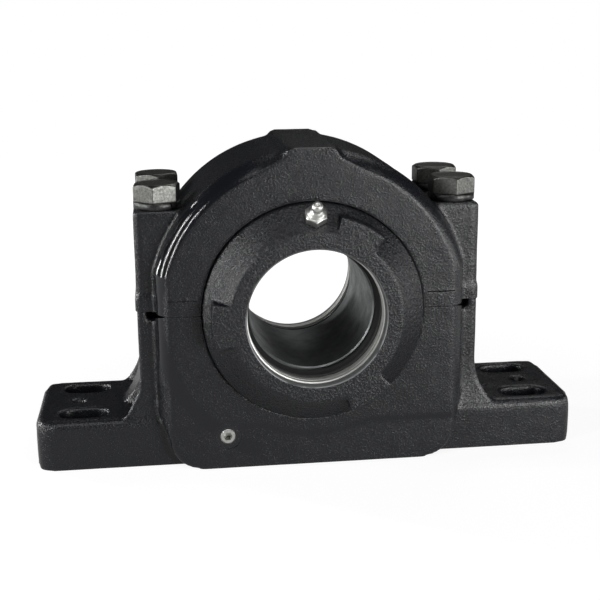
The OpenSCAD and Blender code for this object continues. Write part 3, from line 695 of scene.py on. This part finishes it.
base = cad_copy("housing_base")
print("split faces grown:", grow(base, AXIS, GROWN), "underside:", grow(base, 0, -GROWN))
pour(base, bore_plug())
for spot in BOLTS:
    rod(base, spot, BOLT_PLUG_R, AXIS - 40, AXIS + GROWN)
for spot in DOWELS:
    rod(base, spot, DOWEL_PLUG_R, AXIS - 18, AXIS + GROWN)
plug = rod(base, (0, 0), DRAIN_PLUG_R, 0, 16)
lay_down = Matrix.Rotation(math.radians(-90), 3, "X")
bmesh.ops.rotate(base, verts=plug, cent=(0, 0, 0), matrix=lay_down)
bmesh.ops.translate(base, verts=plug, vec=Vector(DRAIN) * MM)
base = soften("base_casting", base, voxel=1.2, passes=3, lift=0.1)
foot_corners = [v for v in base.verts if abs(v.co.x) > FOOT_CORNER_X * MM
                and abs(v.co.y) > FOOT_CORNER_Y * MM]
smooth(base, foot_corners, CORNER_PASSES, "xy")
base_casting = to_piece("base_casting", base, [housing_enamel, bored_iron])

# %% [markdown]
# ## Holes of the base
# The tapped holes reach 34 mm below the split, and a dowel between each pair of bolts
# locates the cap. The drain hole has a wide shallow spot round it, which was cast and is
# painted. A cutter always reaches a little past the face that it opens.

# %% Cutters for the holes
TAPPED_R = 8.05
TAPPED_DEEP = 34
DOWEL_R = 4.05
DOWEL_DEEP = 13.2
PAST_SPLIT = 10
DRAIN_HOLE_R = 4.55
DRAIN_HOLE_DEEP = 12
DRAIN_SPOT_R = 7.7


def drain_rod(radius, bottom, top):
    bm = bmesh.new()
    rod(bm, (0, 0), radius, bottom, top)
    into_face = Matrix.Rotation(math.radians(-90), 4, "X")
    bm.transform(Matrix.Translation(Vector(DRAIN) * MM) @ into_face)
    return bm


base_holes = bmesh.new()
for spot in BOLTS:
    rod(base_holes, spot, TAPPED_R, AXIS - TAPPED_DEEP, AXIS + PAST_SPLIT)
for spot in DOWELS:
    rod(base_holes, spot, DOWEL_R, AXIS - DOWEL_DEEP, AXIS + PAST_SPLIT)
drain_hole = drain_rod(DRAIN_HOLE_R, 0, DRAIN_HOLE_DEEP)
drain_spot = drain_rod(DRAIN_SPOT_R, -6, 0.5)

# %% [markdown]
# ## Slots to pry the halves apart
# At each corner a wedge is cut under the split, where a bar can lift the cap. It is a block
# whose outer bottom edge is raised to the split, and it opens into the shoulder of the drum.

# %% Cutters for the pry slots
PRY_X = (82.0, 90.4)
PRY_DEEP = 4.4
PRY_DROP = 4.9
POST_FRONT = 34.0

pry_slots = bmesh.new()
for side, face in CORNERS:
    near, far = sorted((face * (POST_FRONT - PRY_DEEP), face * (FACE + 0.5)))
    left, right = sorted((side * PRY_X[0], side * PRY_X[1]))
    block(pry_slots, (left, near, AXIS - PRY_DROP), (right, far, AXIS + 1))
for vert in pry_slots.verts:
    if abs(vert.co.y) > FACE * MM:
        vert.co.z = max(vert.co.z, AXIS * MM)

# %% [markdown]
# ## Cutting the base
# The cuts of the machine shop leave bare iron, the drain spot keeps its paint, and the pry
# slots get a nearly black colour that paints in their shade. The cut at the split stops a
# quarter of a millimetre low, because the halves of the real block meet in a dark line.

# %% Cut the base
above_split = slab(AXIS - SPLIT_GAP / 2, 2 * AXIS)
below_feet = slab(-20, 0)
trim(base_casting, [above_split, below_feet, bore_tool(), base_holes, drain_hole], [bored_iron])
trim(base_casting, [drain_spot], [housing_enamel])
# The pry slots get the near-black colour of painted shade.
trim(base_casting, [pry_slots], [recess_shade_paint])
mark_edges(base_casting, full_bend=0.35)
shade(base_casting.data, 50)
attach(base_casting, "housing")
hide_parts("housing_base")
print("base casting:", len(base_casting.data.polygons), "faces")

# %% [markdown]
# ## The cap casting
# The cap is the upper half: an arch with rounded shoulders, two posts that the bolts pass
# through, a narrow flange along the split and a pad on top. It is made in the same way.
# At both faces the pad runs out into the arch in a slow ramp, so four wedges are melted in
# and the skin is smoothed further there.

# %% Cap casting
PAD_RAMP = [(12, 88.5), (27, 79.5), (26, 76), (12, 76)]
RAMP_DEEP = 7
PAD_SIDE_X = (11, 32)
PAD_SIDE_LOW = AXIS + 74
PAD_END_Y = 38

cap = cad_copy("housing_cap")
print("split faces grown:", grow(cap, AXIS, -GROWN))
pour(cap, bore_plug())
for spot in BOLTS:
    rod(cap, spot, BOLT_PLUG_R, AXIS - GROWN, POST_TOP)
for spot in DOWELS:
    rod(cap, spot, DOWEL_PLUG_R, AXIS - GROWN, AXIS + 16)
for side, face in CORNERS:
    ramp = bmesh.new()
    foot = [ramp.verts.new((side * x * MM, face * FACE * MM, (AXIS + z) * MM)) for x, z in PAD_RAMP]
    pulled = bmesh.ops.extrude_face_region(ramp, geom=[ramp.faces.new(foot)])["geom"]
    bmesh.ops.translate(ramp, vec=(0, -face * RAMP_DEEP * MM, 0), verts=only_points(pulled))
    bmesh.ops.recalc_face_normals(ramp, faces=ramp.faces)
    pour(cap, ramp)
cap = soften("cap_casting", cap, voxel=1.1, passes=3, lift=0.1)
beside_pad = [v for v in cap.verts if PAD_SIDE_X[0] * MM < abs(v.co.x) < PAD_SIDE_X[1] * MM
              and v.co.z > PAD_SIDE_LOW * MM]
pad_ends = [v for v in beside_pad if abs(v.co.y) > PAD_END_Y * MM]
smooth(cap, beside_pad, 6, "xz")
smooth(cap, pad_ends, 24, "xz")
cap_casting = to_piece("cap_casting", cap, [housing_enamel, bored_iron])

# %% [markdown]
# ## The crease above the flange
# A fine crease runs across both faces just above the split, where the flange starts, and its dark line
# is painted shade.
# It is wider on the right than on the left. It starts 2 mm outside the rim of the opening,
# since a cut across that rim would leave slivers.

# %% Cutter for the crease
CREASE_X = (64, 80.2)
CREASE_DEEP = 0.9
CREASE_HALF = {-1: 0.15, 1: 0.35}

crease = bmesh.new()
for side, face in CORNERS:
    left, right = sorted((side * CREASE_X[0], side * CREASE_X[1]))
    near, far = sorted((face * (FACE - CREASE_DEEP), face * (FACE + 1)))
    half = CREASE_HALF[side]
    block(crease, (left, near, CREASE - half), (right, far, CREASE + half))

# %% [markdown]
# ## Cutting the cap
# The bolts pass through the cap with half a millimetre of room, and the dowels sit in blind
# holes from below.

# %% Cut the cap
CLEARANCE_R = 8.5

cap_holes = bmesh.new()
for spot in BOLTS:
    rod(cap_holes, spot, CLEARANCE_R, AXIS - PAST_SPLIT, POST_TOP + 5)
for spot in DOWELS:
    rod(cap_holes, spot, DOWEL_R, AXIS - PAST_SPLIT, AXIS + DOWEL_DEEP)
below_split = slab(0, AXIS + SPLIT_GAP / 2)
trim(cap_casting, [below_split, bore_tool(), cap_holes], [bored_iron])
# The crease gets the near-black colour of painted shade.
trim(cap_casting, [crease], [recess_shade_paint])
mark_edges(cap_casting, full_bend=0.35)
shade(cap_casting.data, 50)
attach(cap_casting, "housing")
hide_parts("housing_cap")
print("cap casting:", len(cap_casting.data.polygons), "faces")

# %% [markdown]
# ## The end covers
# Each cover is a ring casting with a cone, a raised collar with three lugs, and a flange
# that sits trapped in the groove of the housing. The rear cover is the front one turned
# half round the vertical, so one skin serves for both. A filler closes the inside before
# the skin is made, and the hub is bored again for the seal, with a small broken edge.

# %% Covers
FILLER = [(33, -COVER_FACE), (45.5, -COVER_FACE), (45.5, -44), (33, -44)]
HUB_BORE = [(0, -80), (39, -80), (39, -COVER_FACE), (38.2, -COVER_FACE + 0.8), (38.2, -58.95),
            (41, -58.95), (41, -44), (46, -44), (46, -40), (0, -40)]


def cover(name, node, half_turn):
    bm = cad_copy("cover_front")
    pour(bm, lathe(FILLER, 128))
    bm = soften(name, bm, voxel=0.7, passes=1, lift=0.05)
    piece = to_piece(name, bm, [cover_enamel, bored_iron])
    trim(piece, [lathe(HUB_BORE, 256)], [bored_iron])
    mark_edges(piece, full_bend=0.4)
    if half_turn:
        piece.data.transform(Matrix.Rotation(half_turn, 4, "Z"))
    shade(piece.data, 50)
    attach(piece, "housing")
    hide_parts(node)
    print(name, len(piece.data.polygons), "faces")


for side, half_turn in ENDS:
    cover(side + "_cover", "cover_" + side, half_turn)

# %% [markdown]
# ## Crowned hexagons
# A forged head is a hexagonal prism whose corners are turned down to a cone at the top,
# which leaves a curved line on each flat. Where the prism and a turned shape meet in a
# boolean, that line comes by itself. The hexagon of a grease fitting is made alike.

# %% Hexagons
def hexagon(flats, bottom, top, first_corner):
    bm = bmesh.new()
    corner = flats / 2 / math.cos(math.pi / 6) * MM
    bmesh.ops.create_cone(bm, cap_ends=True, segments=6, radius1=corner, radius2=corner,
                          depth=(top - bottom) * MM)
    spot = Matrix.Translation((0, 0, (bottom + top) / 2 * MM))
    bm.transform(spot @ Matrix.Rotation(math.radians(first_corner - 90), 4, "Z"))
    return bm


def crowned(prism, section, steps):
    head = to_piece("crowned_hexagon", prism, [])
    trim(head, [lathe(section, steps, UPRIGHT)], operation="INTERSECT")
    bm = bmesh.new()
    bm.from_mesh(head.data)
    bpy.data.objects.remove(head)
    return bm


# %% [markdown]
# ## Threads
# A thread is a small outline spun about the axis with a rise of one pitch at each turn. The
# outline is given in shares of the pitch: a flank, a narrow flat crest, the other flank and
# the root. Its open ends are closed, so it is a solid of its own. It starts 5 mm below the
# plain shank, out of sight in the hole.

# %% Thread
STEPS_A_TURN = 24


def thread(radius, pitch, turns):
    bm = bmesh.new()
    root = radius - 0.6 * pitch
    crest = radius - 0.1 * pitch
    outline = [(root, 0), (crest, 0.4), (crest, 0.55), (root, 0.95), (root, 1)]
    points = [bm.verts.new((r * MM, 0, share * pitch * MM)) for r, share in outline]
    edges = [bm.edges.new((a, b)) for a, b in zip(points, points[1:])]
    bmesh.ops.spin(bm, geom=points + edges, cent=(0, 0, 0), axis=(0, 0, 1), angle=math.tau * turns,
                   dvec=(0, 0, pitch * MM / STEPS_A_TURN), steps=STEPS_A_TURN * turns,
                   use_merge=False, use_duplicate=False)
    bmesh.ops.remove_doubles(bm, verts=bm.verts, dist=0.01 * MM)
    bmesh.ops.holes_fill(bm, edges=[e for e in bm.edges if e.is_boundary], sides=0)
    bmesh.ops.recalc_face_normals(bm, faces=bm.faces)
    return bm


# %% [markdown]
# ## Hexagon bolts of the cap
# The bolts are M16 with 24 mm across their flats, corners broken at both ends of the head
# and a shallow dish on top. A fine voxel skin rounds the edges of the head as plating does.
# Each one came to rest at another turn when it was tightened, so the four heads stand at
# their own angles.

# %% Four bolts
BOLT_TURNS = (20, 30, 34, 31)
HEAD_FLATS = 24
HEAD_HIGH = 10
THREAD_R = 8
THREAD_PITCH = 2
THREAD_TURNS = 18
BOLT_CROWN = [(0, -1), (16, -1), (14.4, 1.2), (14.4, 8.1), (11.4, 10), (10.6, 10), (10.2, 9.7), (0, 9.7)]
SHANK = [(0, 0.5), (8, 0.5), (8, -48), (7.2, -49), (0, -49)]
THREAD_END = AXIS - 31.9
WASHER_HIGH = 4
HEAD_SEAT = POST_TOP + WASHER_HIGH

head = crowned(hexagon(HEAD_FLATS, 0, HEAD_HIGH, 0), BOLT_CROWN, 96)
head = soften("bolt_head", head, voxel=0.34, passes=2, lift=0.015)
bolts = bmesh.new()
for (x, y), turn in zip(BOLTS, BOLT_TURNS):
    bolt = head.copy()
    pour(bolt, lathe(SHANK, 48, UPRIGHT))
    ridges = thread(THREAD_R, THREAD_PITCH, THREAD_TURNS)
    bmesh.ops.translate(ridges, verts=ridges.verts, vec=(0, 0, (THREAD_END - HEAD_SEAT) * MM))
    pour(bolt, ridges)
    spot = Matrix.Translation((x * MM, y * MM, HEAD_SEAT * MM))
    bolt.transform(spot @ Matrix.Rotation(math.radians(turn), 4, "Z"))
    pour(bolts, bolt)
head.free()
cap_bolts = to_piece("cap_bolt_set", bolts, [forged_zinc])
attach(cap_bolts, "housing")
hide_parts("cap_bolts")
print("cap bolts:", len(cap_bolts.data.polygons), "faces")

# %% [markdown]
# ## Split spring washers
# A spring washer is wound from a square wire, so its corners are rounded, and it has one
# slanted cut. It is turned as a full ring and then slit with a thin tilted plate. The slits
# of the left and right washers face opposite ways.

# %% Washers
WASHER_IN = 8.5
WASHER_OUT = 13.2
WIRE_CORNER = 0.5
WASHER_RING = [(WASHER_IN, WIRE_CORNER), (WASHER_IN + WIRE_CORNER, 0),
               (WASHER_OUT - WIRE_CORNER, 0), (WASHER_OUT, WIRE_CORNER),
               (WASHER_OUT, WASHER_HIGH - WIRE_CORNER), (WASHER_OUT - WIRE_CORNER, WASHER_HIGH),
               (WASHER_IN + WIRE_CORNER, WASHER_HIGH), (WASHER_IN, WASHER_HIGH - WIRE_CORNER)]
SLIT_LOW = (6, -0.4, -8)
SLIT_HIGH = (18, 0.4, 12)
SLIT_TILT = 20
SLIT_TURN_LEFT = -50
SLIT_TURN_RIGHT = 130

washer_set = bmesh.new()
for x, y in BOLTS:
    washer = to_piece("washer", lathe(WASHER_RING, 96, UPRIGHT), [])
    slit = bmesh.new()
    block(slit, SLIT_LOW, SLIT_HIGH)
    tilt = Matrix.Rotation(math.radians(SLIT_TILT), 3, "X")
    bmesh.ops.rotate(slit, verts=slit.verts, cent=(0, 0, 0), matrix=tilt)
    trim(washer, [slit])
    turn = SLIT_TURN_RIGHT if x > 0 else SLIT_TURN_LEFT
    spot = Matrix.Translation((x * MM, y * MM, POST_TOP * MM))
    washer.data.transform(spot @ Matrix.Rotation(math.radians(turn), 4, "Z"))
    washer_set.from_mesh(washer.data)
    bpy.data.objects.remove(washer)
washers = to_piece("spring_washer_set", washer_set, [spring_steel])
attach(washers, "housing")
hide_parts("spring_washers")
print("washers:", len(washers.data.polygons), "faces")

# %% [markdown]
# ## Seals
# Behind the opening of each cover sits a bright steel casing, rolled at its front, with a
# fine groove where its two halves meet. A rubber lip behind it runs close to the shaft. The
# real one may have a coiled spring at its back, which nobody sees, so it is left out. Both
# are plain lathe work, and the rear pair is the front pair turned half round.

# %% Seal casing and lip
CASING = [(38.0, -59), (40.6, -59), (40.95, -58.6), (40.95, -47.25), (38.8, -47.25),
          (38.8, -52.6), (38.5, -53.3), (37.4, -53.5), (37.4, -55.7), (37.75, -55.85),
          (37.75, -56.15), (37.4, -56.3), (37.4, -58.4), (37.55, -58.8)]
LIP = [(40.95, -47.2), (40.95, -43), (38.4, -43), (37.9, -42.4), (37.4, -42.0), (36.4, -42.1),
       (35.8, -42.4), (35.7, -42.9), (35.9, -43.3), (36.6, -44.2), (37.2, -45.6), (37.5, -46.4),
       (38.0, -46.9), (38.4, -47.2)]
for side, half_turn in ENDS:
    casing = to_piece("seal_casing_" + side + "_ring", lathe(CASING, 256), [polished_casing], 35)
    lip = to_piece("seal_lip_" + side + "_ring", lathe(LIP, 256), [nitrile])
    for piece, node, slot in ((casing, "seal_casing_", "bright_steel"),
                              (lip, "seal_lip_", "black_rubber")):
        piece.data.transform(Matrix.Rotation(half_turn, 4, "Z"))
        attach(piece, "housing")
        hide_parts(node + side)
print("seal rings:", len(casing.data.polygons), "and", len(lip.data.polygons), "faces each")

# %% [markdown]
# ## Grease fittings
# A button of zinc-plated steel: a hexagon, a tapered neck and a ball with the small
# hole of the check valve. The hexagon is crowned like the bolt heads, and the neck, the
# ball and the stem are turned. A voxel skin melts the three together.

# %% One fitting
FITTING_FLATS = 11.1
FITTING_CROWN = [(0, -1), (6.6, -1), (6.6, 4), (5.2, 5), (0, 5)]
NECK_AND_BALL = [(0, 2), (4.6, 2), (4.6, 5.4), (4.0, 6.0), (3.2, 7.2), (2.5, 8.0), (2.5, 8.8),
                 (2.9, 9.2), (3.25, 9.9), (3.3, 10.7), (3.0, 11.7), (2.3, 12.6), (1.6, 12.95),
                 (0.9, 12.95), (0.75, 12.2), (0, 12.1)]
STEM = [(0, -7), (4.1, -7), (4.7, -6.3), (4.7, 1), (0, 1)]

fitting = crowned(hexagon(FITTING_FLATS, 0.05, 5, 30), FITTING_CROWN, 64)
pour(fitting, lathe(NECK_AND_BALL, 48, UPRIGHT))
pour(fitting, lathe(STEM, 48, UPRIGHT))
fitting = soften("grease_fitting", fitting, voxel=0.2, passes=1, lift=0.01)

# %% [markdown]
# ## A fitting on each cover
# The fitting stands square on the cone of the cover, halfway between its foot and the
# collar. The slope of the cone gives the turn.

# %% Two fittings
CONE_R = 61.3
COLLAR_R = 47.2
CONE_STEP = 3.4

slope = math.atan2(COVER_FACE - FACE - CONE_STEP, CONE_R - COLLAR_R)
halfway = (0, -(COVER_FACE + FACE + CONE_STEP) / 2, AXIS + (CONE_R + COLLAR_R) / 2)
square_on_cone = Matrix.Rotation(math.pi / 2 - slope, 4, "X")
stand_on_cone = Matrix.Translation(Vector(halfway) * MM) @ square_on_cone
for side, half_turn in ENDS:
    one = fitting.copy()
    one.transform(Matrix.Rotation(half_turn, 4, "Z") @ stand_on_cone)
    piece = to_piece("grease_button_" + side, one, [bright_zinc])
    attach(piece, "housing")
    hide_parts("grease_fitting_" + side)
fitting.free()
print("fittings lean", round(90 - math.degrees(slope), 1), "degrees from the vertical")

# %% [markdown]
# ## Finishes for the pieces that stay as they are
# The rings, rollers, cages, the sleeve and its nut are exact turned parts. The CAD meshes
# are right for them, so they only get the finish of their steel or brass.

# %% CAD nodes
FINISHES = {"adapter_sleeve": ground_sleeve, "locknut": turned_nut, "tab_washer": turned_nut,
            "drain_plug": bright_zinc, "dowel_pins": ground_ring, "outer_ring": ground_ring,
            "inner_ring": ground_ring, "guide_ring": ground_ring,
            "locating_ring_front": ground_ring, "locating_ring_rear": ground_ring,
            "cage_front": machined_cage, "cage_rear": machined_cage}
finished = []
for node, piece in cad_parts.items():
    finish = lapped_roller if node.startswith("roller_") else FINISHES.get(node)
    if finish:
        piece.data.materials.clear()
        piece.data.materials.append(finish)
        finished.append(node)
print("finished CAD nodes:", len(finished))

# %% [markdown]
# ## The floor
# The block stands on a round sheet of white paper. Rays from the camera see it glow white,
# a little less near the block, where the paper's own grey takes the light of the lamps and
# so keeps the soft shadow. Shiny faces mirror the glow at less than half its strength, and
# the flat tops stay dark as in the photograph.

# %% Floor
MIRRORED_SHARE = 0.42


def white_paper():
    material, tree = new_material("white_paper_floor")
    rays = add(tree, "LightPath", {})
    mirrored = add(tree, "Math", {"operation": "MULTIPLY", 0: rays.outputs["Is Glossy Ray"],
                                  1: MIRRORED_SHARE})
    seen = add(tree, "Math", {"operation": "MAXIMUM", 0: rays.outputs["Is Camera Ray"],
                              1: mirrored.outputs[0]})
    seen = add(tree, "Math", {"operation": "MAXIMUM", 0: seen.outputs[0],
                              1: rays.outputs["Is Transmission Ray"]})
    place = add(tree, "TexCoord", {}).outputs["Object"]
    reach = add(tree, "VectorMath", {"operation": "LENGTH", 0: place})
    strength = add(tree, "MapRange", {0: reach.outputs["Value"], 1: 0.2, 2: 0.6, 3: 0.88, 4: 1.0})
    level = add(tree, "Math", {"operation": "MULTIPLY", 0: seen.outputs[0],
                               1: strength.outputs[0]})
    paper = add(tree, "BsdfDiffuse", {"Color": colour("#707070")})
    glow = add(tree, "Emission", {"Color": (1, 1, 1, 1), "Strength": level.outputs[0]})
    both = add(tree, "AddShader", {0: paper.outputs[0], 1: glow.outputs[0]})
    add(tree, "OutputMaterial", {"Surface": both.outputs[0]})
    return material


sheet = bmesh.new()
bmesh.ops.create_circle(sheet, cap_ends=True, segments=96, radius=1.4)
floor = to_piece("paper_floor", sheet, [white_paper()])
print("floor:", round(floor.dimensions.x, 2), "m across")

# %% [markdown]
# ## The air
# To the camera the air beyond the sheet is white as well, so no rim shows. The room itself
# is dim, so that the lamps alone shape the block.

# %% World
world = bpy.data.worlds.new("studio")
scene.world = world
world.use_nodes = True
world.node_tree.nodes.clear()
rays = add(world.node_tree, "LightPath", {})
level = add(world.node_tree, "MapRange", {0: rays.outputs["Is Camera Ray"], 3: 0.02, 4: 1.0})
air = add(world.node_tree, "Background", {"Color": (1, 1, 1, 1), "Strength": level.outputs[0]})
add(world.node_tree, "OutputWorld", {"Surface": air.outputs[0]})
print("world:", world.name)

# %% [markdown]
# ## The lamps
# The key is a soft box at the front right. Three tall narrow windows at the left draw the
# bright lines on the rounded shoulder of the cap. Weaker boxes stand at the right, overhead
# and behind. Each lamp is placed by its direction and distance, in degrees and metres, and
# looks at the shaft axis.

# %% Lamps
def lamp(name, azimuth, height, distance, size, watts):
    data = bpy.data.lights.new(name, "AREA")
    data.shape = "RECTANGLE"
    data.size, data.size_y = size
    data.energy = watts
    box = bpy.data.objects.new(name, data)
    scene.collection.objects.link(box)
    side, up = math.radians(azimuth), math.radians(height)
    way_out = Vector((math.sin(side) * math.cos(up), -math.cos(side) * math.cos(up), math.sin(up)))
    place = Vector((0, 0, AXIS * MM)) + distance * way_out
    facing = (-way_out).to_track_quat("-Z", "Y").to_matrix().to_4x4()
    box.matrix_world = Matrix.Translation(place) @ facing


lamp("key_soft_box", 34, 6, 1.6, (0.6, 0.7), 19)
for number, azimuth in enumerate((-58, -90, -122)):
    lamp("left_window_%d" % number, azimuth, 14, 1.4, (0.05, 1.0), 9)
lamp("right_soft_box", 78, 4, 1.7, (0.8, 0.4), 6)
lamp("overhead_box", 5, 55, 1.5, (0.9, 0.5), 6)
lamp("rear_box", 160, 50, 1.8, (0.8, 0.6), 4)
print("lamps:", len(bpy.data.lights))
